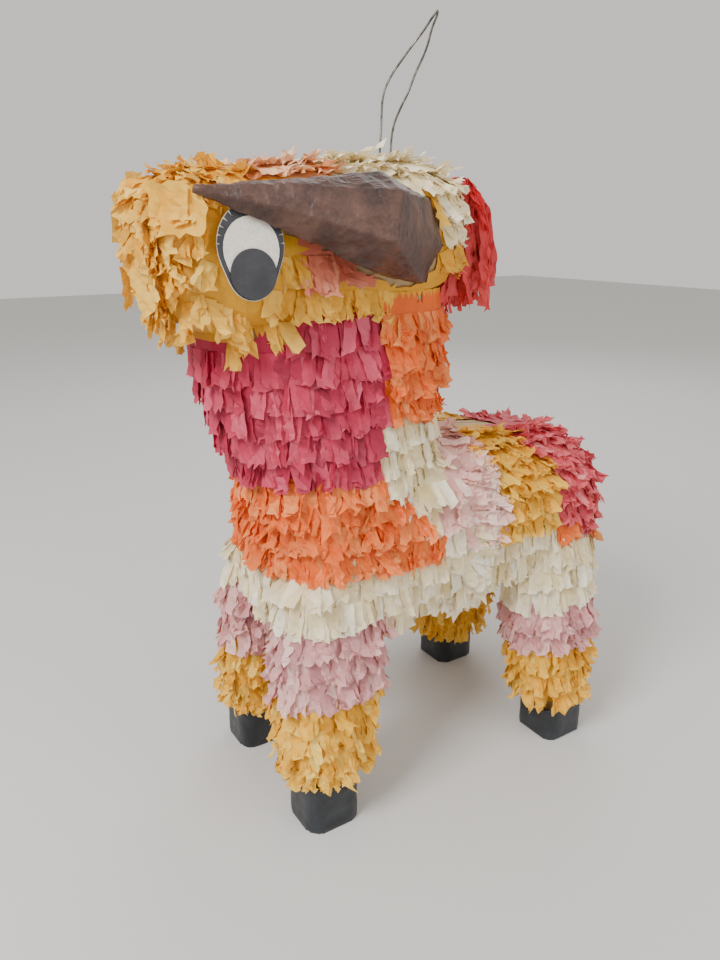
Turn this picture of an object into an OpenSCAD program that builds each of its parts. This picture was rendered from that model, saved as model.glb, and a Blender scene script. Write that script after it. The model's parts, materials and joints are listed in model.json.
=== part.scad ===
// Bull pinata: papier-mache shells dressed in bands of fringed crepe paper.
// Millimetres. The bull faces -Y, its left side is +X, and its hooves stand on z = 0.

/* [Body] */
// Half width of the barrel, paper shell only
barrel_hw = 92; // [88:1:96]
// Half width of the chest
chest_hw = 85; // [82:1:88]
// Height of the barrel at its rear end
barrel_h = 168; // [164:1:172]
// Thickness of the papier-mache
paper_t = 5; // [4:0.5:6]
// Depth of the crepe fringe
fringe_t = 7; // [6:0.5:8]

/* [Head] */
// Half width of the head
head_hw = 73; // [70:1:75]
// Half width of the neck under the jaw
neck_hw = 70; // [67:1:72]
// Overall length of the head, muzzle to poll
head_l = 276; // [272:1:282]

/* [Horns and eyes] */
// Diameter of a horn where it is glued on
horn_d = 78; // [74:1:80]
// Diameter of a horn's tip
tip_d = 7; // [6:0.5:9]
// Width of an eye
eye_w = 56; // [52:1:58]
// Height of an eye
eye_h = 67; // [62:1:70]
// Thickness of each card layer of an eye
card_t = 0.8; // [0.6:0.1:1]

/* [Legs] */
// Distance between the front hooves' middles
front_stance = 148; // [144:1:152]
// Distance between the rear hooves' middles
rear_stance = 188; // [180:1:190]
// Width of a hoof
hoof_w = 55; // [53:1:57]
// Height of a hoof's rim
hoof_h = 56; // [54:1:58]

/* [Hanger] */
// Diameter of the steel wire
wire_d = 2; // [1.6:0.1:2.2]
// Diameter of the wooden dowel that anchors the wire
dowel_d = 8; // [7:0.5:8]

/* [Filling flap] */
// Length of the flap along the back
flap_l = 86; // [80:1:90]
// Width of the flap across the back
flap_w = 66; // [60:1:68]
// Saw gap round the flap
flap_gap = 0.9; // [0.8:0.1:1.2]

/* [Hidden] */

fine = 24;            // points round the body, neck and head
coarse = 20;          // points round a leg
glue_gap = 1;         // room between the paper shell and its fringe, for glue and tape
seam_z = 330;         // the neck tube is taped on to the body here
reach = 400;          // longer than any part, for cutting blocks
vent_d = 4;           // a hole that lets a closed paper form dry inside

gold = "#d9a445";
cream = "#e3d5ae";
magenta = "#a82f4f";
orange = "#dd6f3c";
lilac = "#c69098";
yellow = "#dcae45";
kraft = "#b39a72";
brown = "#5c4642";
black = "#2b2b30";

// ---- lofted paper shells -------------------------------------------------

// A point at angle a on a superellipse with half axes p and q
function oval(p, q, e, a) = [
    p * sign(cos(a)) * pow(abs(cos(a)), 2 / e),
    q * sign(sin(a)) * pow(abs(sin(a)), 2 / e)
];

// A ring that lies level: middle [x, y], height z, half axes p along X and q along Y
function level_ring(x, y, z, p, q, e, count) = [
    for (i = [0 : count - 1]) let (o = oval(p, q, e, 360 * i / count)) [x + o[0], y + o[1], z]
];

// A ring across Y: middle height z, half axes p along X and q along Z
function cross_ring(y, z, p, q, e, count) = [
    for (i = [0 : count - 1]) let (o = oval(p, q, e, -360 * i / count)) [o[0], y, z + o[1]]
];

// A closed solid through rings that all have as many points
module loft(rings) {
    n = len(rings[0]);
    last = len(rings) - 1;
    walls = [
        for (k = [0 : last - 1], i = [0 : n - 1])
            let (j = (i + 1) % n)
            each [[k * n + i, k * n + j, (k + 1) * n + j], [k * n + i, (k + 1) * n + j, (k + 1) * n + i]]
    ];
    low_cap = [for (i = [n - 1 : -1 : 0]) i];
    high_cap = [for (i = [0 : n - 1]) last * n + i];
    faces = [for (f = concat(walls, [low_cap, high_cap])) [f[0], each [for (i = [len(f) - 1 : -1 : 1]) f[i]]]];
    polyhedron(points = [for (r = rings) each r], faces = faces, convexity = 6);
}

// Chest and neck column, grown by t: [height, front, rear, half width, how far the height grows]
column_rows = [
    [187, -146, -50, chest_hw * 0.7, -1],
    [196, -164, -26, chest_hw * 0.92, -0.6],
    [216, -171, -6, chest_hw, 0],
    [seam_z, -173, -4, chest_hw - 5, 0],
    [392, -202, 6, neck_hw + 3, 0],
    [446, -216, 14, neck_hw, 0],
    [486, -218, 15, neck_hw - 4, 1]
];

module column(t) {
    loft([for (r = column_rows)
        level_ring(0, (r[1] + r[2]) / 2, r[0] + r[4] * t, r[3] + t, (r[2] - r[1]) / 2 + t, 2.6, fine)]);
}

// Barrel, grown by t: [y, middle height, half width, half height, how far y grows]
flap_y0 = 0;
flap_y1 = 130;
barrel_rows = [
    [-70, 272, barrel_hw - 8, barrel_h / 2 - 4, -1],
    [flap_y0, 266, barrel_hw - 1, barrel_h / 2 - 1, 0],
    [flap_y1, 250, barrel_hw, barrel_h / 2, 0],
    [164, 246, barrel_hw - 3, barrel_h / 2 - 2, 0],
    [191, 243, barrel_hw - 12, barrel_h / 2 - 9, 0.3],
    [209, 241, barrel_hw - 28, barrel_h / 2 - 23, 0.6],
    [218, 240, barrel_hw - 50, barrel_h / 2 - 44, 0.9],
    [221, 240, barrel_hw - 72, barrel_h / 2 - 66, 1]
];
barrel_e = 2.4;

module barrel(t) {
    loft([for (r = barrel_rows) cross_ring(r[0] + r[4] * t, r[1], r[2] + t, r[3] + t, barrel_e, fine)]);
}

// Head, grown by t, in the same terms as the barrel
muzzle_y = -252;
poll_y = muzzle_y + head_l;
head_rows = [
    [muzzle_y, 526, head_hw - 42, 24, -1],
    [muzzle_y + 6, 525, head_hw - 22, 40, -0.8],
    [muzzle_y + 20, 522, head_hw - 9, 54, -0.4],
    [muzzle_y + 50, 517, head_hw, 63, 0],
    [-120, 523, head_hw + 1, 64, 0],
    [-34, 532, head_hw, 61, 0],
    [poll_y - 22, 535, head_hw - 13, 52, 0.3],
    [poll_y - 6, 536, head_hw - 33, 36, 0.8],
    [poll_y, 536, head_hw - 55, 16, 1]
];

module head(t) {
    loft([for (r = head_rows) cross_ring(r[0] + r[4] * t, r[1], r[2] + t, r[3] + t, 2.7, fine)]);
}

module body(t) {
    column(t);
    barrel(t);
}

// A closed surface that is worked out in one piece; the size stays as it is
module one_piece() {
    resize([0, 0, 0]) children();
}

// A block through the whole width whose outline in the Y-Z plane is the points
module side_region(points) {
    translate([-reach, 0, 0]) rotate([90, 0, 90]) linear_extrude(2 * reach) polygon(points);
}

module below(z) {
    translate([-reach, -reach, z - 2 * reach]) cube(2 * reach);
}

module above(z) {
    translate([-reach, -reach, z]) cube(2 * reach);
}

// ---- shells --------------------------------------------------------------

module body_shell() {
    color(kraft) one_piece() difference() {
        union() {
            intersection() { column(0); below(seam_z); }
            difference() { barrel(0); intersection() { column(0); above(seam_z); } }
        }
        intersection() { column(-paper_t); below(seam_z - paper_t); }
        barrel(-paper_t);
        flap_block(0);
    }
}

module neck_shell() {
    color(kraft) one_piece() difference() {
        intersection() { column(0); above(seam_z + 0.05); }
        difference() {
            intersection() { column(-paper_t); above(seam_z + paper_t); }
            head(paper_t);
            barrel(paper_t);
        }
        head(0.05);
        barrel(0.05);
        translate([0, -90, 400]) cylinder(h = 100, d = vent_d, $fn = 16);
    }
}

module head_shell() {
    color(kraft) one_piece() difference() {
        head(0);
        head(-paper_t);
        wire_slots();
        dowel(0.1);
    }
}

// ---- filling flap on the right side of the back --------------------------

flap_mid_y = 66;
hinge_x = -8;

// Height of the barrel's paper at x = hinge_x
function barrel_top(y) =
    let (r = barrel_rows[1], s = barrel_rows[2], u = (y - r[0]) / (s[0] - r[0]),
        mid = r[1] + u * (s[1] - r[1]), p = r[2] + u * (s[2] - r[2]), q = r[3] + u * (s[3] - r[3]))
    mid + q * pow(1 - pow(abs(hinge_x) / p, barrel_e), 1 / barrel_e);

flap_slope = atan((barrel_top(flap_y0) - barrel_top(flap_y1)) / (flap_y1 - flap_y0));

// The block that the flap is cut from, smaller by g on every side; its upper edge is the hinge line
module flap_block(g) {
    translate([hinge_x, flap_mid_y, barrel_top(flap_mid_y)])
        rotate([-flap_slope, 0, 0])
            translate([g - flap_w, g - flap_l / 2, -reach / 4])
                cube([flap_w - 2 * g, flap_l - 2 * g, reach / 2]);
}

// A strip beside the hinge line, from x0 to x1 across it and longer than the flap by the spare length
module hinge_strip(x0, x1, spare = -6) {
    translate([hinge_x, flap_mid_y, barrel_top(flap_mid_y)])
        rotate([-flap_slope, 0, 0])
            translate([x0, -(flap_l + spare) / 2, -20]) cube([x1 - x0, flap_l + spare, 40]);
}

module fill_flap() {
    color(kraft) one_piece() intersection() {
        difference() { barrel(0); barrel(-paper_t); }
        flap_block(flap_gap);
    }
}

module flap_tape_upper() {
    color("#c9b48a") one_piece() intersection() {
        difference() { barrel(0.9); barrel(0.1); }
        hinge_strip(2.5, 15);
    }
}

module flap_tape_lower() {
    color("#c9b48a") one_piece() intersection() {
        difference() { barrel(0.9); barrel(0.1); }
        hinge_strip(-15, -2.5);
    }
}

module flap_fringe_yellow() {
    color(yellow) one_piece() difference() {
        intersection() {
            difference() { barrel(fringe_t); barrel(glue_gap); }
            flap_block(flap_gap + 1);
        }
        hinge_strip(-16, 16, 6);
    }
}

// ---- crepe fringe on the body --------------------------------------------

// Corners of the colour patches, as [y, z]; neighbours share them
chest_top = [-240, 325];
chest_low = [-240, 268];
withers = [-90, 345];
throat = [-58, 310];
elbow = [-26, 275];
girth = [-4, 256];
brisket = [-85, 262];
neck_step = [-90, 395];
neck_low = [-78, 395];
neck_high = [-78, 560];
neck_back = [60, 385];
nape_foot = [6, 356];
nape_edge = [18, 383];
nape_low = [-24, 300];
pink_rear = [46, 305];
pink_tip = [54, 282];
pink_foot = [38, 264];
pink_low = [15, 266];
saddle_top = [52, 387];
saddle_rear = [122, 312];
saddle_foot = [122, 256];
saddle_low = [70, 250];
tuft_top = [198, 241];
tuft_end = [260, 236];
tuft_foot = [260, 222];
tuft_low = [146, 218];

magenta_patch = [chest_top, withers, neck_step, neck_low, neck_high, [-240, 560]];
neck_orange_patch = [neck_low, neck_back, [60, 560], neck_high];
nape_patch = [withers, throat, elbow, nape_low, nape_foot, nape_edge, neck_back, neck_low, neck_step];
chest_patch = [chest_low, brisket, girth, elbow, throat, withers, chest_top];
pink_patch = [nape_foot, nape_low, elbow, pink_low, pink_foot, pink_tip, pink_rear, nape_edge];
saddle_patch = [nape_edge, pink_rear, pink_tip, pink_foot, saddle_low, saddle_foot, saddle_rear, saddle_top];
rose_patch = [saddle_top, saddle_rear, saddle_foot, tuft_top, tuft_end, [260, 420], [60, 420]];
tuft_patch = [saddle_foot, tuft_low, tuft_foot, tuft_end, tuft_top];
belly_patch = [
    chest_low, [-240, 100], [260, 100], tuft_foot, tuft_low, saddle_foot, saddle_low,
    pink_foot, pink_low, elbow, girth, brisket
];

module body_fringe(patch, paint) {
    color(paint) one_piece() difference() {
        intersection() {
            difference() { body(fringe_t); body(glue_gap); }
            side_region(patch);
        }
        head(fringe_t + 0.3);
        flap_block(-2);
        hinge_strip(-16, 16, 6);
        for (leg = legs) leg_solid(leg, fringe_t + 0.3);
    }
}

// The belly's fringe runs on down each leg as a cuff
module belly_fringe_cream() {
    color(cream) one_piece() difference() {
        union() {
            difference() {
                intersection() {
                    body(fringe_t);
                    side_region(belly_patch);
                }
                for (leg = legs) intersection() {
                    leg_solid(leg, fringe_t + 0.3);
                    below(leg[7] + 0.15);
                }
            }
            for (leg = legs) difference() {
                leg_solid(leg, fringe_t);
                below(leg[7] + 0.15);
            }
        }
        body(glue_gap);
        for (leg = legs) leg_solid(leg, glue_gap);
    }
}

// ---- crepe fringe on the head --------------------------------------------

brow_patch = [[-186, 576], [-118, 576], [-110, 640], [-186, 640]];
crown_patch = [[-118, 576], [-30, 574], [-14, 530], [60, 530], [60, 640], [-110, 640]];
cheek_patch = [[-160, 541], [-112, 545], [-86, 492], [-152, 500]];

module head_fringe(paint) {
    color(paint) one_piece() difference() {
        intersection() {
            difference() { head(fringe_t); head(glue_gap); }
            children();
        }
        wire_slots();
        column(0.3);
        for (side = [-1, 1]) {
            horn_form(side, 1.6);
            eye_seat(side);
        }
    }
}

module face_fringe_gold() {
    head_fringe(gold) difference() {
        below(2 * reach);
        for (patch = [brow_patch, crown_patch, cheek_patch]) side_region(patch);
    }
}

// ---- horns ---------------------------------------------------------------

horn_base = [62, -52, 529];   // inside the head's side
horn_bend = [104, -111, 543];
horn_tip = [75, -240, 564];

// The oval root of a horn, h deep and d high
module horn_root(side, h, d) {
    translate([side * horn_base[0], horn_base[1], horn_base[2]])
        rotate([0, side * 90, 0]) scale([1, 0.84, 1]) cylinder(h = h, d = d, $fn = 22);
}

module horn_ball(side, d) {
    translate([side * horn_bend[0], horn_bend[1], horn_bend[2]])
        rotate([0, side * 50, 0]) sphere(d = d, $fn = 18);
}

// The outside of a horn, thicker by g
module horn_form(side, g) {
    hull() {
        horn_root(side, 8, horn_d + g);
        horn_ball(side, horn_d * 0.96 + g);
    }
    hull() {
        horn_ball(side, horn_d * 0.96 + g);
        translate([side * horn_tip[0], horn_tip[1], horn_tip[2]]) sphere(d = tip_d + g, $fn = 16);
    }
}

module horn(side) {
    color(brown) one_piece() difference() {
        horn_form(side, 0);
        head(0.05);
        horn_hollow(side);
        horn_root(side, 30, vent_d);
        eye_place(side, 0) translate([0, 0, -0.4]) linear_extrude(5 * card_t) egg(eye_w + 3, eye_h + 3);
    }
}

// A horn is rolled card, hollow almost to its tip
module horn_hollow(side) {
    difference() {
        union() {
            hull() {
                horn_root(side, 8, horn_d - 8);
                horn_ball(side, horn_d * 0.96 - 8);
            }
            hull() {
                horn_ball(side, horn_d * 0.96 - 8);
                translate([side * 83, -206, 558]) sphere(d = 8, $fn = 16);
            }
        }
        head(4);
    }
}

// ---- eyes ----------------------------------------------------------------

eye_mid = [82, -202.5, 522];
eye_turn = 12;        // an eye looks this much towards the front
eye_tilt = 4;         // and this much upwards

// Puts a card cut in the X-Y plane (Y up) on one side of the head, out by the given layer
module eye_place(side, layer) {
    mirror([side < 0 ? 1 : 0, 0, 0])
        translate(eye_mid)
            rotate([0, 0, -eye_turn]) rotate([90 - eye_tilt, 0, 90])
                translate([0, 0, layer * (card_t + 0.05)]) children();
}

module eye_seat(side) {
    eye_place(side, 0) translate([0, 0, -0.2]) cylinder(h = 40, d = eye_h + 6, $fn = 40);
}

// An egg standing on its narrow end
module egg(w, h) {
    scale([w / 2, h / 2]) hull() {
        translate([0, 0.14]) circle(r = 0.86, $fn = 28);
        translate([0, -0.34]) circle(r = 0.66, $fn = 28);
    }
}

module eye_backing(side) {
    color("#efe9dc") one_piece() eye_place(side, 0) linear_extrude(card_t) egg(eye_w + 1, eye_h + 1);
}

// The lash card: an egg with a fringe of points snipped round its upper half
lash_count = 15;
module eye_lashes(side) {
    color(black) one_piece() eye_place(side, 1) linear_extrude(card_t) difference() {
        egg(eye_w, eye_h);
        for (i = [0 : lash_count - 1]) {
            a = 4 + 172 * i / (lash_count - 1);
            translate([0.46 * eye_w * cos(a), 0.06 * eye_h + 0.46 * eye_h * sin(a)]) rotate(a)
                polygon([[-5 - 2 * sin(a), 0], [6, -1.8], [6, 1.8]]);
        }
    }
}

module eye_white(side) {
    color("#e6ddd0") one_piece() eye_place(side, 2) translate([0, -0.03 * eye_h, 0])
        linear_extrude(card_t) egg(eye_w * 0.84, eye_h * 0.8);
}

module eye_pupil(side) {
    color(black) one_piece() eye_place(side, 3) translate([0.01 * eye_w, -0.225 * eye_h, 0])
        linear_extrude(card_t) scale([eye_w * 0.3, eye_h * 0.265]) circle(r = 1, $fn = 40);
}

// ---- hanging wire --------------------------------------------------------

dowel_y = -31;
dowel_z = 580;
strand_x = 8.5;        // each strand's distance from the middle where it leaves the head
eyelet_r = dowel_d / 2 + 0.4 + wire_d / 2;

module dowel(g) {
    translate([0, dowel_y, dowel_z]) rotate([0, 90, 0])
        cylinder(h = 92 + g, d = dowel_d + g, center = true, $fn = 32);
}

// Its ends are pasted into sockets in the head's paper
module hanger_dowel() {
    color("#c8a878") dowel(0);
}

// One strand's middle line, from the top of its eyelet to the peak of the loop: [x, y, z]
strand = [
    [strand_x, dowel_y, dowel_z + eyelet_r],
    [strand_x, -31.5, 599],
    [9.5, -29.5, 621],
    [14, -26, 634.5],
    [19, -21.5, 647],
    [20, -16.5, 659],
    [15.5, -1, 682],
    [6, 12.5, 702],
    [1.4, 21.5, 715.5],
    [-0.6, 22.5, 717]
];

function unit(v) = v / norm(v);

// A ring of radius r at p, square to the direction d
function wire_ring(p, d, r) =
    let (u = unit(cross(d, [0, 1, 0])), w = cross(d, u))
    [for (i = [0 : 11]) p + r * (cos(30 * i) * u + sin(30 * i) * w)];

module wire_strand() {
    n = len(strand) - 1;
    loft([for (i = [0 : n])
        wire_ring(strand[i], unit(strand[min(i + 1, n)] - strand[max(i - 1, 0)]), wire_d / 2)]);
}

module hanger_wire() {
    color("#6d665c") one_piece() for (side = [0, 1]) mirror([side, 0, 0]) {
        wire_strand();
        translate([strand_x, dowel_y, dowel_z]) rotate([0, 90, 0])
            rotate_extrude($fn = 24) translate([eyelet_r, 0]) circle(d = wire_d, $fn = 10);
    }
}

// The holes that the strands have worn, long enough for the loop to lean
module wire_slots() {
    for (side = [-1, 1])
        hull() for (y = [-10, 7])
            translate([side * (strand_x + 0.3), dowel_y + y, dowel_z + 2]) cylinder(h = 60, d = 5, $fn = 16);
}

// ---- legs ----------------------------------------------------------------

// [side, top y, top x, hoof y, hoof x, top of the shin fringe, its foot, top of the thigh fringe]
front = [1, -122, 50, -147, front_stance / 2, 152, 52, 219];
rear = [1, 144, 60, 138, rear_stance / 2, 114, 40, 168];
function other_side(leg) = [-1, for (i = [1 : 7]) leg[i]];
legs = [front, other_side(front), rear, other_side(rear)];

leg_top_z = 236;
// How a leg narrows: [height, half width, half length]
leg_rows = [
    [16, 20, 20], [50.5, 21.2, 21.2], [61, 31, 38], [110, 33, 45],
    [182, 34, 51], [leg_top_z, 33, 49], [leg_top_z + 28, 14, 32]
];

module leg_solid(leg, t) {
    loft([for (r = leg_rows)
        let (u = (r[0] - leg_rows[0][0]) / (leg_top_z - leg_rows[0][0]))
        level_ring(leg[0] * (leg[4] + u * (leg[2] - leg[4])), leg[3] + u * (leg[1] - leg[3]),
            r[0], r[1] + t, r[2] + t, 2.4, coarse)]);
}

module leg_tube(leg) {
    color(kraft) one_piece() difference() {
        leg_solid(leg, 0);
        difference() {
            leg_solid(leg, -3);
            body(3);
            below(20);
        }
        body(0.05);
        translate([leg[0] * leg[4], leg[3], 0]) cylinder(h = 40, d = vent_d, $fn = 16);
    }
}

module hoof_outline(w, r) {
    square([w, w - 2 * r], center = true);
    square([w - 2 * r, w], center = true);
    for (x = [-1, 1], y = [-1, 1]) translate([x * (w / 2 - r), y * (w / 2 - r)]) circle(r = r, $fn = 24);
}

// A black card cup that the leg stands in
module hoof(leg) {
    color(black) translate([leg[0] * leg[4], leg[3], 0]) difference() {
        linear_extrude(hoof_foot(leg) + 4) hoof_outline(hoof_w, 15);
        translate([0, 0, 3]) linear_extrude(hoof_h) hoof_outline(hoof_w - 4, 13);
    }
}

function hoof_foot(leg) = leg[6] - 6;

// A band of fringe round a leg between two heights
module leg_fringe(leg, low, high, paint) {
    color(paint) one_piece() difference() {
        leg_solid(leg, fringe_t);
        leg_solid(leg, glue_gap);
        body(glue_gap);
        below(low + 0.15);
        above(high - 0.15);
        below(hoof_foot(leg) + 4.4);
    }
}

// ---- tassel and tail -----------------------------------------------------

// Red crepe streamers glued behind the poll
module poll_tassel() {
    color("#c8343f") one_piece() difference() {
        hull() {
            translate([18, 14, 580]) sphere(r = 12, $fn = 16);
            translate([26, 34, 556]) sphere(r = 17, $fn = 16);
            translate([24, 34, 490]) sphere(r = 15, $fn = 16);
            translate([20, 30, 466]) sphere(r = 8, $fn = 16);
        }
        head(fringe_t + 0.4);
        column(fringe_t + 0.4);
    }
}

module tail() {
    color(orange) one_piece() difference() {
        hull() {
            translate([0, 226, 296]) sphere(r = 9, $fn = 16);
            translate([0, 243, 270]) sphere(r = 11, $fn = 16);
            translate([0, 246, 190]) sphere(r = 13, $fn = 16);
            translate([0, 243, 158]) sphere(r = 9, $fn = 16);
        }
        barrel(fringe_t + 0.4);
    }
}

// ---- nodes ---------------------------------------------------------------

body_shell();
neck_shell();
head_shell();
fill_flap();
flap_tape_upper();
flap_tape_lower();
hanger_dowel();
hanger_wire();
horn(1);  // horn_left
horn(-1);  // horn_right
eye_backing(1);  // eye_backing_left
eye_lashes(1);  // eye_lashes_left
eye_white(1);  // eye_white_left
eye_pupil(1);  // eye_pupil_left
eye_backing(-1);  // eye_backing_right
eye_lashes(-1);  // eye_lashes_right
eye_white(-1);  // eye_white_right
eye_pupil(-1);  // eye_pupil_right
leg_tube(legs[0]);  // leg_front_left
leg_tube(legs[1]);  // leg_front_right
leg_tube(legs[2]);  // leg_rear_left
leg_tube(legs[3]);  // leg_rear_right
hoof(legs[0]);  // hoof_front_left
hoof(legs[1]);  // hoof_front_right
hoof(legs[2]);  // hoof_rear_left
hoof(legs[3]);  // hoof_rear_right
leg_fringe(legs[0], front[5], front[7], lilac);  // thigh_fringe_front_left
leg_fringe(legs[1], front[5], front[7], lilac);  // thigh_fringe_front_right
leg_fringe(legs[2], rear[5], rear[7], lilac);  // thigh_fringe_rear_left
leg_fringe(legs[3], rear[5], rear[7], lilac);  // thigh_fringe_rear_right
leg_fringe(legs[0], front[6], front[5], yellow);  // shin_fringe_front_left
leg_fringe(legs[1], front[6], front[5], yellow);  // shin_fringe_front_right
leg_fringe(legs[2], rear[6], rear[5], yellow);  // shin_fringe_rear_left
leg_fringe(legs[3], rear[6], rear[5], yellow);  // shin_fringe_rear_right
face_fringe_gold();
head_fringe("#e3ab86") side_region(brow_patch);  // brow_fringe_peach
head_fringe("#ecd3a0") side_region(crown_patch);  // crown_fringe_cream
head_fringe("#cf7a64") side_region(cheek_patch);  // cheek_fringe_salmon
body_fringe(magenta_patch, magenta);  // neck_fringe_magenta
body_fringe(neck_orange_patch, orange);  // neck_fringe_orange
body_fringe(nape_patch, cream);  // nape_fringe_cream
body_fringe(chest_patch, orange);  // chest_fringe_orange
body_fringe(pink_patch, "#e0b3a8");  // shoulder_fringe_pink
body_fringe(saddle_patch, yellow);  // saddle_fringe_yellow
body_fringe(rose_patch, "#cf5a68");  // rump_fringe_rose
body_fringe(tuft_patch, orange);  // rump_fringe_orange
belly_fringe_cream();
flap_fringe_yellow();
poll_tassel();
tail();
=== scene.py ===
"""A papier-mache bull pinata in rows of snipped tissue paper, with folded-paper horns and card eyes."""

import json
import math

import bmesh
import bpy
import numpy as np
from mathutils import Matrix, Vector, noise
from mathutils.bvhtree import BVHTree


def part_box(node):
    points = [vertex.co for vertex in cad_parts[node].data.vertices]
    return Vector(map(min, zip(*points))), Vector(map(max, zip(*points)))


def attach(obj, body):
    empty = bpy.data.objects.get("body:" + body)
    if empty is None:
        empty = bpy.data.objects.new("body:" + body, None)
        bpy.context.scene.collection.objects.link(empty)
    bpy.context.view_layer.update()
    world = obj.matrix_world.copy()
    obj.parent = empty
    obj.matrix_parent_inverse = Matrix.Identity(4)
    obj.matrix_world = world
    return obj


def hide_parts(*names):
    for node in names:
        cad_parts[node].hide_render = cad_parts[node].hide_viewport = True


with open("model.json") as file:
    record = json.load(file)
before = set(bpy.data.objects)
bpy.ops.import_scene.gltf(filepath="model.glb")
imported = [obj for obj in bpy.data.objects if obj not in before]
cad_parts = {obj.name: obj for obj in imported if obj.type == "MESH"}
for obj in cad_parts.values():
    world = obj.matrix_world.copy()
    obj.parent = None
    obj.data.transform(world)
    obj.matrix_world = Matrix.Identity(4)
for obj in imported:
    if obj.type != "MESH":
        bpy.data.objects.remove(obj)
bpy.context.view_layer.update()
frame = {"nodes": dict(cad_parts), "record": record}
nodes = frame["nodes"]
record = frame["record"]
body_of = {n: b for b, members in record["behaviour"]["bodies"].items() for n in members}
slot_of = {s["node"]: s["material_slot"] for s in record["subparts"]}
MM = 0.001


# ---- camera, floor and light ---------------------------------------------

def rgb(code):
    """A linear colour from an sRGB hex code."""
    parts = [int(code[i:i + 2], 16) / 255 for i in (1, 3, 5)]
    return tuple(c / 12.92 if c < 0.04045 else ((c + 0.055) / 1.055) ** 2.4 for c in parts)


camera = bpy.data.objects.new("camera", bpy.data.cameras.new("camera"))
camera.data.lens = 28.5
camera.data.sensor_width = 36
camera.location = (0.5985, -0.442, 0.540)
azimuth, pitch = math.radians(57.3), math.radians(18.5)
look = Vector((
    -math.sin(azimuth) * math.cos(pitch),
    math.cos(azimuth) * math.cos(pitch),
    -math.sin(pitch),
))
camera.rotation_mode = "QUATERNION"
camera.rotation_quaternion = look.to_track_quat("-Z", "Y")
bpy.context.scene.collection.objects.link(camera)
bpy.context.scene.camera = camera


def node_tree(name):
    """A new material, its node tree and its Principled shader."""
    m = bpy.data.materials.new(name)
    m.use_nodes = True
    return m, m.node_tree, m.node_tree.nodes["Principled BSDF"]


def new_object(name, mesh):
    o = bpy.data.objects.new(name, mesh)
    bpy.context.scene.collection.objects.link(o)
    return o


floor_mesh = bpy.data.meshes.new("floor")
floor_mesh.from_pydata([(-6, -6, 0), (6, -6, 0), (6, 6, 0), (-6, 6, 0)], [], [(0, 1, 2, 3)])
floor = new_object("floor", floor_mesh)
floor_paint, _, shader = node_tree("floor_paint")
shader.inputs["Base Color"].default_value = (0.62, 0.61, 0.59, 1)
shader.inputs["Roughness"].default_value = 0.85
floor_mesh.materials.append(floor_paint)

world = bpy.data.worlds.new("studio")
bpy.context.scene.world = world
world.use_nodes = True
world.node_tree.nodes["Background"].inputs["Color"].default_value = (1, 0.97, 0.93, 1)
world.node_tree.nodes["Background"].inputs["Strength"].default_value = 0.8


def lamp(name, place, size, power, aim=(0, 0, 0.3)):
    data = bpy.data.lights.new(name, "AREA")
    data.size, data.energy = size, power
    o = bpy.data.objects.new(name, data)
    o.location = place
    o.rotation_mode = "QUATERNION"
    o.rotation_quaternion = (Vector(aim) - Vector(place)).to_track_quat("-Z", "Y")
    bpy.context.scene.collection.objects.link(o)


lamp("key", (0.5, -1.7, 1.9), 0.9, 60)
lamp("fill", (1.9, 0.5, 1.2), 1.6, 15)
lamp("rim", (-1.5, 1.4, 1.7), 1.2, 16)


# ---- materials -----------------------------------------------------------

def link(tree, a, b):
    tree.links.new(a, b)


def ramp(tree, fac, stops):
    """A colour ramp node with (place, colour) stops."""
    n = tree.nodes.new("ShaderNodeValToRGB")
    while len(n.color_ramp.elements) < len(stops):
        n.color_ramp.elements.new(0.5)
    for e, (place, colour) in zip(n.color_ramp.elements, stops):
        e.position = place
        e.color = (*colour, 1)
    link(tree, fac, n.inputs["Fac"])
    return n.outputs["Color"]


def mixed(tree, fac, a, b, mode="MIX"):
    """Mixes two colours; fac, a and b are each a socket or a constant."""
    n = tree.nodes.new("ShaderNodeMix")
    n.data_type, n.blend_type = "RGBA", mode
    for socket, value in ((n.inputs["Factor"], fac), (n.inputs[6], a), (n.inputs[7], b)):
        if isinstance(value, bpy.types.NodeSocket):
            link(tree, value, socket)
        else:
            socket.default_value = value if isinstance(value, (int, float)) else (*value, 1)
    return n.outputs[2]


def noise_field(tree, scale, detail=4, rough=0.6, stretch=None):
    n = tree.nodes.new("ShaderNodeTexNoise")
    n.inputs["Scale"].default_value = scale
    n.inputs["Detail"].default_value = detail
    n.inputs["Roughness"].default_value = rough
    where = tree.nodes.new("ShaderNodeTexCoord").outputs["Object"]
    if stretch:
        squeeze = tree.nodes.new("ShaderNodeMapping")
        squeeze.inputs["Scale"].default_value = stretch
        link(tree, where, squeeze.inputs["Vector"])
        where = squeeze.outputs["Vector"]
    link(tree, where, n.inputs["Vector"])
    return n.outputs["Fac"]


def attribute(tree, name):
    n = tree.nodes.new("ShaderNodeAttribute")
    n.attribute_name = name
    return n.outputs["Fac"]


def bump(tree, shader, height, strength, distance):
    n = tree.nodes.new("ShaderNodeBump")
    n.inputs["Strength"].default_value = strength
    n.inputs["Distance"].default_value = distance
    link(tree, height, n.inputs["Height"])
    if shader.inputs["Normal"].is_linked:
        link(tree, shader.inputs["Normal"].links[0].from_socket, n.inputs["Normal"])
    link(tree, n.outputs["Normal"], shader.inputs["Normal"])


def roughness(tree, shader, fac, low, high):
    n = tree.nodes.new("ShaderNodeMapRange")
    n.inputs["To Min"].default_value = low
    n.inputs["To Max"].default_value = high
    link(tree, fac, n.inputs["Value"])
    link(tree, n.outputs["Result"], shader.inputs["Roughness"])


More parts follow.
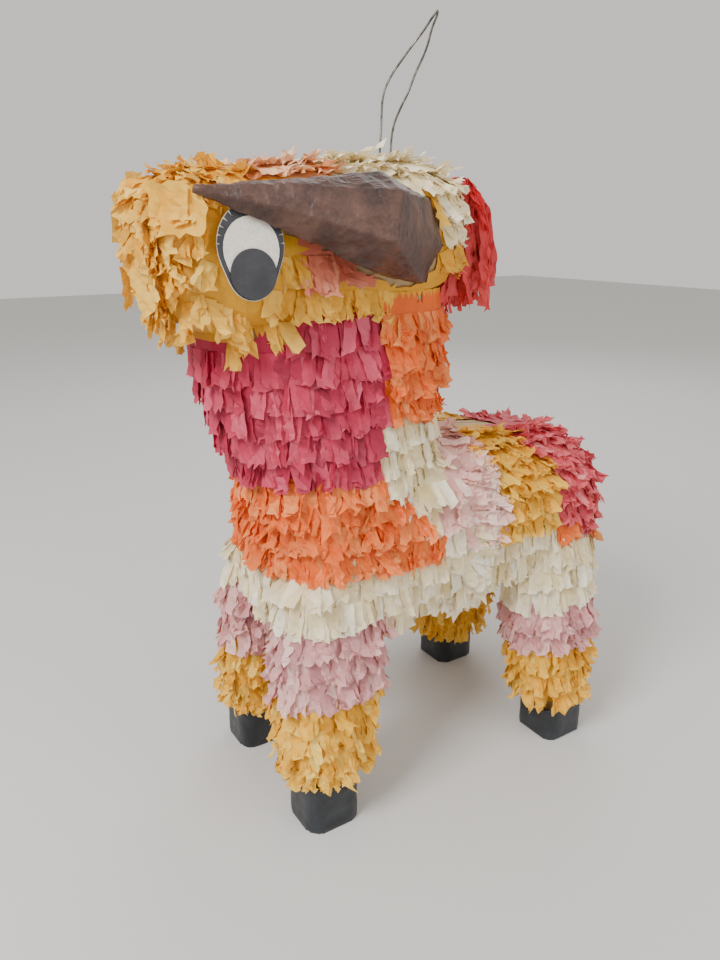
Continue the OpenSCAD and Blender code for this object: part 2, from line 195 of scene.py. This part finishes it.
def tissue(name, deep, main, pale, through=0.22):
    """Coloured tissue: each strip has its own shade, pales towards its tip and lets some light through. The
    paling is partly painted shade, darker where each strip's base lies under the row above, and partly a
    faded tip.
    """
    m, tree, shader = node_tree(name)
    own = ramp(tree, attribute(tree, "shade"), [(0, rgb(deep)), (0.5, rgb(main)), (1, rgb(pale))])
    # the colour a strip pales to at its tip: partly a faded tip, partly lighter against the painted shade at
    # its covered base
    faded = mixed(tree, 0.5, own, rgb(pale))
    # painted shade at each strip's covered base, paling to a faded tip
    by_tip = mixed(tree, attribute(tree, "fade"), own, faded)
    blotch = ramp(tree, noise_field(tree, 38, 5, 0.65), [(0.3, (0.72, 0.7, 0.68)), (0.7, (1.08, 1.08, 1.08))])
    colour = mixed(tree, 0.65, by_tip, blotch, "MULTIPLY")
    link(tree, colour, shader.inputs["Base Color"])
    shader.inputs["Specular IOR Level"].default_value = 0.35
    roughness(tree, shader, noise_field(tree, 90, 3), 0.42, 0.72)
    bump(tree, shader, noise_field(tree, 420, 6, 0.7), 0.35, 0.0006)
    bump(tree, shader, noise_field(tree, 130, 4, 0.6, (1, 1, 0.45)), 0.5, 0.0016)
    glow = tree.nodes.new("ShaderNodeBsdfTranslucent")
    link(tree, colour, glow.inputs["Color"])
    join = tree.nodes.new("ShaderNodeMixShader")
    join.inputs["Fac"].default_value = through
    link(tree, shader.outputs["BSDF"], join.inputs[1])
    link(tree, glow.outputs["BSDF"], join.inputs[2])
    link(tree, join.outputs["Shader"], tree.nodes["Material Output"].inputs["Surface"])
    return m


def paper(name, dark, light, scale, grain=400, low=0.55, high=0.8, depth=0.0006, stretch=None):
    """Thick paper or card with blotches, fibres and a grain."""
    m, tree, shader = node_tree(name)
    base = ramp(tree, noise_field(tree, scale, 6, 0.65, stretch), [(0.32, rgb(dark)), (0.68, rgb(light))])
    fibres = ramp(tree, noise_field(tree, grain, 2), [(0.35, (0.86, 0.86, 0.86)), (0.65, (1.05, 1.05, 1.05))])
    link(tree, mixed(tree, 1.0, base, fibres, "MULTIPLY"), shader.inputs["Base Color"])
    roughness(tree, shader, noise_field(tree, scale * 2, 3), low, high)
    bump(tree, shader, noise_field(tree, grain, 6, 0.7), 0.4, depth)
    return m


# deep, main and pale shades of each tissue
tissues = {
    "crepe_gold": tissue("tissue_gold", "#c4821a", "#f5b52c", "#ffdc70"),
    "crepe_peach": tissue("tissue_peach", "#d98a55", "#f4b680", "#ffe3c4"),
    "crepe_cream": tissue("tissue_cream", "#dfc88c", "#fdecbf", "#fffdf0"),
    "crepe_salmon": tissue("tissue_salmon", "#b54a3a", "#e87f62", "#f8bd9c"),
    "crepe_magenta": tissue("tissue_magenta", "#8a1230", "#c7274c", "#e8667f"),
    "crepe_orange": tissue("tissue_orange", "#d84a12", "#fc7424", "#ffae68"),
    "crepe_pink": tissue("tissue_pink", "#dc9592", "#f8c8bc", "#fff0e6"),
    "crepe_yellow": tissue("tissue_yellow", "#d0900e", "#fabb28", "#ffe070"),
    "crepe_rose": tissue("tissue_rose", "#b8263f", "#e6505f", "#f89a9c"),
    "crepe_lilac": tissue("tissue_lilac", "#ac6a74", "#e2a0a0", "#f8d4cc"),
    "crepe_red": tissue("tissue_red", "#a01020", "#e02a34", "#f47c78"),
}
kraft = paper("papier_mache", "#8a6f47", "#c4a97c", 24)
tape = paper("paper_tape", "#b08d55", "#cdb181", 60)
dowel_wood = paper("dowel_wood", "#a67c4a", "#d0a972", 30, stretch=(1, 12, 12))
horn_paper = paper("horn_paper", "#2a1814", "#664538", 34, 520, 0.34, 0.6, 0.0005)
card_white = paper("card_white", "#d6cec2", "#efe9de", 60, 700, 0.5, 0.7, 0.0002)
card_black = paper("card_black", "#28282d", "#3b3b41", 50, 700, 0.38, 0.6, 0.0002)
hoof_paper = paper("hoof_paper", "#15181c", "#2b3036", 46, 500, 0.3, 0.55, 0.0007)


# ---- the paper surfaces that the rows of fringe are glued to --------------

def triangles(obj, longest):
    """A node's surface as points and triangles, cut until no edge is longer than that."""
    bm = bmesh.new()
    bm.from_mesh(obj.data)
    bmesh.ops.remove_doubles(bm, verts=bm.verts, dist=1e-6)
    bmesh.ops.triangulate(bm, faces=bm.faces)
    for _ in range(7):
        long_edges = [e for e in bm.edges if e.calc_length() > longest]
        if not long_edges:
            break
        bmesh.ops.subdivide_edges(bm, edges=long_edges, cuts=1)
        bmesh.ops.triangulate(bm, faces=[f for f in bm.faces if len(f.verts) > 3])
    bm.verts.ensure_lookup_table()
    v = np.array([p.co[:] for p in bm.verts])
    f = np.array([[p.index for p in t.verts] for t in bm.faces if t.calc_area() > 1e-9])
    bm.free()
    return v, f


def normals(v, f):
    n = np.cross(v[f[:, 1]] - v[f[:, 0]], v[f[:, 2]] - v[f[:, 0]])
    return n / np.maximum(np.linalg.norm(n, axis=1, keepdims=True), 1e-15)


bands = {n: BVHTree.FromPolygons(
    [tuple(p.co) for p in nodes[n].data.vertices],
    [tuple(q.vertices) for q in nodes[n].data.polygons],
) for n in nodes if "fringe" in n}
band_box = {n: tuple(np.array(c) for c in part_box(n)) for n in bands}


def band_at(p):
    """The band of fringe whose solid holds the point, or None."""
    for name, tree in bands.items():
        low, high = band_box[name]
        if (p < low).any() or (p > high).any():
            continue
        spot, normal, _, away = tree.find_nearest(Vector(p))
        # the side test can be wrong past a sharp edge, so the point also has to be close to the surface
        if away < 0.0045 and (Vector(p) - spot).dot(normal) < 0:
            return name
    return None


def smoothstep(x, low, high):
    t = np.clip((x - low) / (high - low), 0, 1)
    return t * t * (3 - 2 * t)


def body_height(p):
    """Falls steadily on the way down the chest, and down each flank and the rump from the spine."""
    x, y, z = p[..., 0], p[..., 1], p[..., 2]
    across = smoothstep(y, 0.0, 0.03) * (1 - 0.5 * smoothstep(y, 0.16, 0.21))
    return z - across * np.abs(x) - 0.7 * np.maximum(y - 0.15, 0)


def head_height(p):
    x, y, z = p[..., 0], p[..., 1], p[..., 2]
    return z - 0.8 * np.abs(x) - 0.7 * np.maximum(-0.19 - y, 0) - 0.6 * np.maximum(y + 0.03, 0)


def plain_height(p):
    return p[..., 2]


def slope_down(height, p, n):
    """Steepest fall of a height field along a surface, easing to straight down under an overhang."""
    e = 1e-4
    g = np.array([(height(p + d) - height(p - d)) / (2 * e) for d in np.eye(3) * e])
    along = -(g - n * g.dot(n))
    size = np.linalg.norm(along)
    along = along / size if size > 1e-6 else np.array([0, 0, -1.0])
    drop = float(smoothstep(-n[2], 0.05, 0.6))
    mix = along * (1 - drop) + np.array([0, 0, -1.0]) * drop
    return mix / np.linalg.norm(mix)


def level_lines(v, f, h, level):
    """Where a field crosses a level on a mesh: runs of (point, face)."""
    above = h[f] > level
    crossing = np.flatnonzero((above.sum(1) > 0) & (above.sum(1) < 3))
    ends, at_key = {}, {}
    for i in crossing:
        keys = []
        for a, b in ((0, 1), (1, 2), (2, 0)):
            if above[i, a] != above[i, b]:
                p, q = sorted((f[i, a], f[i, b]))
                key = (p, q)
                if key not in at_key:
                    u = (level - h[p]) / (h[q] - h[p])
                    at_key[key] = v[p] + u * (v[q] - v[p])
                keys.append(key)
                ends.setdefault(key, []).append(i)
        if len(keys) == 2:
            ends[("face", i)] = keys
    left = set(int(i) for i in crossing)
    runs = []
    while left:
        start = min(left)
        left.discard(start)
        halves = []
        for first in (0, 1):
            half, face, key = [], start, ends[("face", start)][first]
            while face is not None:
                a, b = ends[("face", face)]
                ahead = b if key == a else a
                half.append((at_key[key], at_key[ahead], face))
                key = ahead
                face = next((i for i in ends[key] if i in left), None)
                left.discard(face)
            halves.append(half)
        back = [(q, p, face) for p, q, face in reversed(halves[1][1:])]
        runs.append(back + halves[0])
    return runs


def stations(run, gap, rng):
    """Points about a gap apart along a run, with the face each lies on."""
    out, carry = [], rng.uniform(0, gap)
    for a, b, face in run:
        length = np.linalg.norm(b - a)
        while carry < length:
            out.append((a + (b - a) * carry / length, face))
            carry += gap * rng.uniform(0.82, 1.18)
        carry -= length
    return out


# ---- strips of tissue -----------------------------------------------------

STATION_GAP = 0.0088     # between neighbouring strips in a row
ROW_SPACING = 0.0225     # between rows, down the surface
LAYERS = 2               # strips laid over each other at each row
MID_FRINGE = 0.0038      # from the paper shell to the middle of the fringe


class Strips:
    """Gathers strips of tissue into one mesh. Each point keeps its strip's shade and how far it pales, from
    painted shade at the strip's covered base towards a faded tip.
    """

    def __init__(self):
        self.co, self.faces, self.fade, self.shade, self.count = [], [], [], [], 0

    def grid(self, g, shade, fade):
        rows, cols = g.shape[:2]
        ids = np.arange(rows * cols).reshape(rows, cols) + self.count
        corners = [ids[:-1, :-1], ids[:-1, 1:], ids[1:, 1:], ids[1:, :-1]]
        self.faces.append(np.stack(corners, -1).reshape(-1, 4))
        self.co.append(g.reshape(-1, 3))
        self.fade.append(np.repeat(fade, cols))
        self.shade.append(np.full(rows * cols, shade))
        self.count += rows * cols

    def faceted(self, v, f, shade):
        self.faces.append(np.column_stack([f + self.count, -np.ones(len(f), int)]))
        self.co.append(v)
        self.fade.append(np.zeros(len(v)))
        self.shade.append(np.full(len(v), shade))
        self.count += len(v)

    def build(self, name, material):
        mesh = bpy.data.meshes.new(name)
        faces = [tuple(q[q >= 0]) for q in np.concatenate(self.faces)]
        mesh.from_pydata(np.concatenate(self.co).tolist(), [], faces)
        # stored per point: the strip's own shade, and its paling from a painted shaded base to a faded tip
        for key, values in (("fade", self.fade), ("shade", self.shade)):
            a = mesh.attributes.new(key, "FLOAT", "POINT")
            a.data.foreach_set("value", np.concatenate(values).astype(np.float32))
        mesh.materials.append(material)
        return new_object(name, mesh)


class Style:
    """How one band's fringe is cut and how it has crumpled; lengths in metres and angles in degrees."""

    def __init__(self, gap, wide, long, lift, curl, kink, crumple, sway, twist):
        self.gap, self.wide, self.long = gap, wide, long
        self.lift, self.curl, self.kink, self.crumple = lift, curl, kink, crumple
        self.sway, self.twist = sway, twist
        self.shade = (0.5, 0.2)


neat = Style(0.0092, (0.0095, 0.0135), (0.023, 0.029), (4, 12), (8, 11), 5, 0.0007, 6, 8)
loose = Style(0.0085, (0.010, 0.015), (0.023, 0.029), (5, 18), (20, 20), 10, 0.0013, 13, 18)
curly = Style(0.0080, (0.008, 0.012), (0.022, 0.028), (5, 20), (24, 28), 12, 0.0012, 14, 24)
leafy = Style(0.0088, (0.0085, 0.0135), (0.018, 0.025), (4, 16), (12, 18), 9, 0.0011, 15, 16)
pleated = Style(0.0080, (0.009, 0.013), (0.022, 0.028), (5, 17), (18, 18), 11, 0.0013, 10, 22)
hanging = Style(0.0105, (0.010, 0.0145), (0.025, 0.031), (4, 13), (6, 12), 5, 0.0007, 7, 8)

styles = {
    "face_fringe_gold": leafy, "brow_fringe_peach": leafy, "crown_fringe_cream": leafy,
    "cheek_fringe_salmon": loose, "neck_fringe_magenta": hanging, "neck_fringe_orange": loose,
    "nape_fringe_cream": neat, "chest_fringe_orange": loose, "shoulder_fringe_pink": pleated,
    "saddle_fringe_yellow": loose, "flap_fringe_yellow": loose, "rump_fringe_rose": pleated,
    "rump_fringe_orange": loose, "belly_fringe_cream": neat,
}


def style_of(band):
    if band.startswith("thigh"):
        return loose
    if band.startswith("shin"):
        return curly
    return styles[band]


def strip_grid(p, n, d, style, rng, length=None, width=None, rows=7, cols=4):
    """One snipped strip, glued at p and hanging along d off a surface that faces n."""
    side = np.cross(n, d)
    side /= np.linalg.norm(side)
    length = length or rng.uniform(*style.long)
    width = width or rng.uniform(*style.wide)
    t = np.linspace(0, 1, rows)
    start, end = math.radians(rng.uniform(*style.lift)), math.radians(rng.normal(*style.curl))
    bend = start + (end - start) * t ** 1.7 + np.cumsum(np.radians(rng.normal(0, style.kink, rows)) * t)
    step = length / (rows - 1)
    ahead = np.cos(bend)[:, None] * d + np.sin(bend)[:, None] * n
    off = -np.sin(bend)[:, None] * d + np.cos(bend)[:, None] * n
    line = p + n * rng.uniform(0.0008, 0.0030) + np.vstack([np.zeros(3), np.cumsum(ahead[:-1] * step, 0)])
    drift = math.tan(math.radians(np.clip(rng.normal(0, style.sway), -40, 40)))
    line = line + side * (drift * length * t ** 1.2)[:, None]
    turn = np.radians(rng.normal(0, style.twist) * t + rng.normal(0, 4))
    across_dir = np.cos(turn)[:, None] * side + np.sin(turn)[:, None] * off
    across = np.linspace(-0.5, 0.5, cols)
    fold = rng.normal(0, 0.28) * width * (0.35 + 0.65 * t)[:, None] * (np.abs(across) * 2 - 0.5)[None, :]
    g = line[:, None] + across_dir[:, None] * (across * width)[None, :, None]
    g = g + off[:, None] * fold[:, :, None]
    g[1:] += rng.normal(0, style.crumple, (rows - 1, cols, 3)) * t[1:, None, None] ** 0.6
    slant = rng.normal(0, 0.22) * across * width + rng.normal(0, 0.0012, cols)
    g[-1] += ahead[-1] * slant[:, None]
    return g


def crumpled_sheet(p, n, d, size, rng, amp, lift=0.003):
    """A loose torn piece of tissue, folded at random and stuck on by its middle."""
    side = np.cross(n, d)
    side /= np.linalg.norm(side)
    k = 8
    u, w = np.meshgrid(np.linspace(-0.5, 0.5, k), np.linspace(-0.5, 0.5, k), indexing="ij")
    edge = 1 + 0.07 * rng.normal(0, 1, (k, k)) * (np.maximum(abs(u), abs(w)) > 0.42)
    height = np.full((k, k), lift)
    for _ in range(5):
        a, c = rng.uniform(0, math.pi), rng.uniform(-0.3, 0.3)
        height += amp * rng.uniform(0.4, 1) * abs(u * math.cos(a) + w * math.sin(a) - c)
    height += rng.normal(0, amp * 0.16, (k, k))
    flat = (u * edge * size[0])[..., None] * side + (w * edge * size[1])[..., None] * d
    return p + n * height[..., None] + flat


strips = {}


def strips_for(band):
    return strips.setdefault(band, Strips())


# where rows must leave room: the flap's opening and the eyes
flap_low, flap_high = (np.array(c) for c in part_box("fill_flap"))
eye_boxes = [tuple(np.array(c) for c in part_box("eye_backing_" + s)) for s in ("left", "right")]


def over_eye(p):
    for low, high in eye_boxes:
        mid, half = (low + high) / 2, (high - low) / 2
        if p[0] * mid[0] > 0 and abs(p[0]) > 0.05:
            if ((p[1] - mid[1]) / half[1]) ** 2 + ((p[2] - mid[2]) / half[2]) ** 2 < 0.92:
                return True
    return False


def near_wire(p):
    return abs(p[0]) < 0.016 and -0.050 < p[1] < -0.014 and p[2] > 0.57


def in_opening(p):
    """Over or inside the hole that the flap closes."""
    inside = (p[:2] > flap_low[:2] - 0.0015).all() and (p[:2] < flap_high[:2] + 0.0015).all()
    return inside and p[2] > flap_low[2] - 0.05


def beside_hinge(p):
    """Where a strip would be caught by the flap as it swings up."""
    along = flap_low[1] - 0.005 < p[1] < flap_high[1] + 0.005
    return along and abs(p[0] - flap_high[0]) < 0.017 and p[2] > flap_low[2]


def dress(node, height, seed, longest=0.011):
    """Covers one paper form: a wrinkled undersheet, then its rows of snipped strips from the bottom up."""
    rng = np.random.default_rng(seed)
    v, f = triangles(nodes[node], longest)
    n = normals(v, f)
    mid = v[f].mean(1)
    homes = [band_at(c + m * MID_FRINGE) for c, m in zip(mid, n)]
    if body_of[node] != "flap":
        homes = [None if in_opening(c) or beside_hinge(c) else h for c, h in zip(mid, homes)]
    point_n = np.zeros_like(v)
    for k in range(3):
        np.add.at(point_n, f[:, k], n)
    point_n /= np.maximum(np.linalg.norm(point_n, axis=1, keepdims=True), 1e-12)
    puff = np.array([noise.noise(Vector(p) * 90) for p in v])
    lifted = v + point_n * (0.0019 + 0.0011 * puff)[:, None]
    for band in sorted({h for h in homes if h}):
        mine = f[[h == band for h in homes]]
        used, back = np.unique(mine, return_inverse=True)
        strips_for(band).faceted(lifted[used], back.reshape(-1, 3), 0.4)
    h = height(v)
    rows = np.arange(h.min() + 0.004, h.max(), ROW_SPACING)
    on_flap = body_of[node] == "flap"
    for level in rows:
        for run in level_lines(v, f, h, level + rng.normal(0, 0.0006)):
            if len(run) < 2:
                continue
            for _ in range(LAYERS):
                for p, face in stations(run, STATION_GAP, rng):
                    m = n[face]
                    band = band_at(p + m * MID_FRINGE)
                    if band is None or m[2] < -0.93:
                        continue
                    style = style_of(band)
                    if rng.uniform() > STATION_GAP / style.gap:
                        continue
                    d = slope_down(height, p, m)
                    if abs(d.dot(m)) > 0.85:
                        continue
                    tip = p + d * style.long[1]
                    if near_wire(p) or over_eye(p) or over_eye(p + d * 0.012) or over_eye(tip):
                        continue
                    length = None
                    if band.startswith("shin"):
                        length = min(rng.uniform(*style.long), p[2] - band_box[band][0][2] + 0.003)
                        if length < 0.008:
                            continue
                    lean = rng.normal(0, 0.10, 3)
                    g = strip_grid(p, m + lean - m * lean.dot(m), d, style, rng, length)
                    if any(over_eye(q) for q in g[:, 1]):
                        continue
                    if not on_flap and any(beside_hinge(q) or in_opening(q) for q in g[:, 1]):
                        continue
                    shade = float(np.clip(rng.normal(*style.shade), 0, 1))
                    t = np.linspace(0, 1, g.shape[0])
                    # the strip pales towards its tip: painted shade at its base, where the row above covers
                    # it, and a faded tip
                    strips_for(band).grid(g, shade, t ** 2 * rng.uniform(0.3, 1))


dress("body_shell", body_height, 11)
dress("neck_shell", plain_height, 12)
dress("head_shell", head_height, 13)
dress("fill_flap", body_height, 14)
for k, leg in enumerate(("front_left", "front_right", "rear_left", "rear_right")):
    dress("leg_" + leg, plain_height, 20 + k)

def on_head(x, y, z):
    """The nearest place on the head's paper, and the way it faces."""
    spot, normal, _, _ = head_tree.find_nearest(Vector((x, y, z)))
    return np.array(spot), np.array(normal)


head_tree = BVHTree.FromObject(nodes["head_shell"], bpy.context.evaluated_depsgraph_get())
rng = np.random.default_rng(41)
for side in (1, -1):
    for _ in range(4):
        y, z = rng.uniform(-0.250, -0.235), 0.530 + rng.uniform(-0.045, 0.045)
        p, n = on_head(side * (0.02 + 0.045 * rng.uniform()), y, z)
        d = slope_down(head_height, p, n)
        size = (rng.uniform(0.024, 0.036), rng.uniform(0.026, 0.04))
        # each sheet pales from one side to the other by up to half a strip's tip paling: painted shade on one
        # side, fading on the other, as on the strips
        strips_for("face_fringe_gold").grid(
            crumpled_sheet(p, n, d, size, rng, 0.005, 0.008),
            float(rng.uniform(0.35, 0.95)), np.linspace(0, 0.5, 8))

for band, made in strips.items():
    piece = made.build("tissue_" + band, tissues[slot_of[band]])
    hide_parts(band)
    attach(piece, body_of[band])


# ---- crumpled paper forms ---------------------------------------------------

def remeshed(name, mesh, voxel):
    """A copy of a closed mesh with even small faces."""
    o = new_object(name, mesh.copy())
    o.data.materials.clear()
    m = o.modifiers.new("even", "REMESH")
    m.mode, m.voxel_size = "VOXEL", voxel
    solid = bpy.data.meshes.new_from_object(o.evaluated_get(bpy.context.evaluated_depsgraph_get()))
    o.modifiers.clear()
    o.data = solid
    return o


def displace(o, move):
    """Moves each point of a mesh along its normal by move(point)."""
    outward = [p.normal.copy() for p in o.data.vertices]
    for p, n in zip(o.data.vertices, outward):
        p.co = p.co + n * move(p.co)
    o.data.update()


def creases(p, scale, seed):
    """Sharp folds with flat paper between them, from 0 to 1."""
    return 1 - abs(noise.noise(p * scale + Vector((seed, 3.1 * seed, 7.7))))


def finish_piece(o, node, material, smooth=True):
    if not o.data.materials:
        o.data.materials.append(material)
    for q in o.data.polygons:
        q.use_smooth = smooth
    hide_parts(node)
    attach(o, body_of[node])


HORN_BASE = np.array((62, -52, 529)) * MM
HORN_BEND = np.array((104, -111, 543)) * MM
HORN_TIP = np.array((75, -240, 564)) * MM


def horn_ring(middle, axis, radius, squash, turn):
    """Six corners of a fold round a horn's axis."""
    axis = axis / np.linalg.norm(axis)
    up = np.array([0, 0, 1.0]) - axis * axis[2]
    up /= np.linalg.norm(up)
    along = np.cross(axis, up)
    return [middle + radius * (math.sin(a) * up + squash * math.cos(a) * along)
            for a in np.radians(np.arange(6) * 60 + turn)]


def folded_horn(side):
    """Stiff paper folded into flat facets: a six-sided stump as far as the bend, then a six-sided spike."""
    elbow = horn_ring(HORN_BEND, HORN_TIP - HORN_BASE, 0.0365, 0.92, 24)
    root = horn_ring(HORN_BASE, np.array([1.0, 0, 0]), 0.038, 0.84, 10)
    outer_root = [c + (0.010, 0, 0) for c in root]
    mid = horn_ring(HORN_BEND * 0.45 + HORN_TIP * 0.55, HORN_TIP - HORN_BEND, 0.0175, 0.85, 12)
    tip = horn_ring(HORN_TIP, HORN_TIP - HORN_BEND, 0.0028, 1, 0)
    bm = bmesh.new()
    for group in (root + outer_root + elbow, elbow + mid, mid + tip):
        corners = [bm.verts.new((side * c[0], c[1], c[2])) for c in group]
        made = bmesh.ops.convex_hull(bm, input=corners)
        bmesh.ops.delete(bm, geom=[g for g in made["geom_interior"] if g.is_valid], context="VERTS")
    bmesh.ops.recalc_face_normals(bm, faces=bm.faces)
    mesh = bpy.data.meshes.new("horn_form")
    bm.to_mesh(mesh)
    bm.free()
    return mesh


for side, sign in (("left", 1), ("right", -1)):
    horn = remeshed("horn_" + side + "_paper", folded_horn(sign), 0.0016)
    displace(horn, lambda p: 0.0022 * (creases(p, 34, 2) - 0.8) + 0.0013 * (creases(p, 95, 5) - 0.8)
             + 0.0005 * (creases(p, 240, 9) - 0.8))
    finish_piece(horn, "horn_" + side, horn_paper, smooth=False)

for corner in ("front_left", "front_right", "rear_left", "rear_right"):
    hoof = remeshed("hoof_" + corner + "_paper", nodes["hoof_" + corner].data, 0.0016)
    displace(hoof, lambda p: (0.0012 * (creases(p, 60, 4) - 0.8) if p.z > 0.003 else 0))
    finish_piece(hoof, "hoof_" + corner, hoof_paper)

# ---- streamers and wire ----------------------------------------------------

def streamer(start, out, length, width, rng, spread=0.014, rows=16, cols=3):
    """A long limp strip: it arches over from where it is glued, then hangs with a twist and a few kinks."""
    t = np.linspace(0, 1, rows)
    side = np.cross(out, (0, 0, 1.0))
    side /= np.linalg.norm(side)
    reach = spread * (1 - np.exp(-4 * t)) * rng.uniform(0.4, 1.2)
    sway = np.cumsum(rng.normal(0, 0.0011, rows))
    arch = 0.007 * np.sin(np.minimum(t * 5, math.pi)) * rng.uniform(0.2, 1)
    line = start + out * reach[:, None] + side * sway[:, None]
    line = line + np.array([0, 0, 1.0]) * (arch - length * t)[:, None]
    turn = rng.uniform(0, 6.28) + np.cumsum(rng.normal(0, 0.22, rows))
    across_dir = np.cos(turn)[:, None] * side + np.sin(turn)[:, None] * out
    across = np.linspace(-0.5, 0.5, cols) * width
    g = line[:, None] + across_dir[:, None] * across[None, :, None]
    g[1:] += rng.normal(0, 0.0009, (rows - 1, cols, 3))
    return g


def tassel(node, top, foot, spread, count, seed):
    """A bunch of streamers that hangs from one place, in the space of its CAD node."""
    rng = np.random.default_rng(seed)
    bunch = Strips()
    for _ in range(count):
        a = rng.uniform(0, 2 * math.pi)
        out = np.array([math.cos(a), math.sin(a), 0])
        start = np.array(top) + out * rng.uniform(0, 0.009) + (0, 0, rng.uniform(-0.012, 0.004))
        length = (start[2] - foot) * rng.uniform(0.6, 1)
        g = streamer(start, out, length, rng.uniform(0.006, 0.011), rng, spread)
        # each streamer pales downwards: painted shade where it is glued into the bunch, and a faded lower end
        bunch.grid(g, float(np.clip(rng.normal(0.5, 0.2), 0, 1)), np.linspace(0, 0.7, g.shape[0]))
    o = bunch.build(node + "_streamers", tissues[slot_of[node]])
    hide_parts(node)
    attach(o, body_of[node])


tassel("poll_tassel", (0.024, 0.034, 0.578), 0.460, 0.024, 85, 31)
tassel("tail", (0, 0.242, 0.292), 0.155, 0.010, 44, 32)

STRAND = [
    (8.5, -31, 585.4), (8.5, -31.5, 599), (9.5, -29.5, 621), (14, -26, 634.5), (19, -21.5, 647),
    (20, -16.5, 659), (15.5, -1, 682), (6, 12.5, 702), (1.4, 21.5, 715.5), (-0.6, 22.5, 717),
]


def swept(name, path, radius, material, closed=False):
    """A round wire along a path, as a mesh."""
    curve = bpy.data.curves.new(name, "CURVE")
    curve.dimensions = "3D"
    curve.bevel_depth, curve.bevel_resolution, curve.resolution_u = radius, 3, 5
    curve.use_fill_caps = not closed
    spline = curve.splines.new("BEZIER")
    spline.bezier_points.add(len(path) - 1)
    for point, co in zip(spline.bezier_points, path):
        point.co = co
        point.handle_left_type = point.handle_right_type = "AUTO"
    spline.use_cyclic_u = closed
    holder = bpy.data.objects.new(name, curve)
    bpy.context.scene.collection.objects.link(holder)
    mesh = bpy.data.meshes.new_from_object(holder.evaluated_get(bpy.context.evaluated_depsgraph_get()))
    bpy.data.objects.remove(holder)
    mesh.materials.clear()
    mesh.materials.append(material)
    for q in mesh.polygons:
        q.use_smooth = True
    return new_object(name, mesh)


steel, tree, shader = node_tree("steel_wire")
shader.inputs["Metallic"].default_value = 0.85
link(tree, ramp(tree, noise_field(tree, 120, 5), [(0.35, rgb("#3b3733")), (0.7, rgb("#8d867c"))]),
     shader.inputs["Base Color"])
roughness(tree, shader, noise_field(tree, 200, 3), 0.25, 0.5)
bump(tree, shader, noise_field(tree, 500, 3), 0.3, 0.0002)

EYELET_R, WIRE_R = 0.0054, 0.001
wires = []
for side in (1, -1):
    wires.append(swept("wire_strand", [(side * x * MM, y * MM, z * MM) for x, y, z in STRAND], WIRE_R, steel))
    ring = [(side * STRAND[0][0] * MM, -0.031 + EYELET_R * math.sin(a), 0.580 + EYELET_R * math.cos(a))
            for a in np.linspace(0, 2 * math.pi, 10, endpoint=False)]
    wires.append(swept("wire_eyelet", ring, WIRE_R, steel, closed=True))
bm = bmesh.new()
for w in wires:
    bm.from_mesh(w.data)
    bpy.data.objects.remove(w)
wire_mesh = bpy.data.meshes.new("hanger_wire_bent")
bm.to_mesh(wire_mesh)
bm.free()
wire_mesh.materials.append(steel)
for q in wire_mesh.polygons:
    q.use_smooth = True
finish_piece(new_object("hanger_wire_bent", wire_mesh), "hanger_wire", steel)

eye_cards = {"backing": card_white, "lashes": card_black, "white": card_white, "pupil": card_black}
for side in ("left", "right"):
    for layer, material in eye_cards.items():
        nodes["eye_" + layer + "_" + side].data.materials.clear()
        nodes["eye_" + layer + "_" + side].data.materials.append(material)

for node in ("body_shell", "neck_shell", "head_shell", "fill_flap"):
    nodes[node].data.materials.clear()
    nodes[node].data.materials.append(kraft)
for corner in ("front_left", "front_right", "rear_left", "rear_right"):
    nodes["leg_" + corner].data.materials.clear()
    nodes["leg_" + corner].data.materials.append(kraft)
for node, material in (("flap_tape_upper", tape), ("flap_tape_lower", tape), ("hanger_dowel", dowel_wood)):
    nodes[node].data.materials.clear()
    nodes[node].data.materials.append(material)
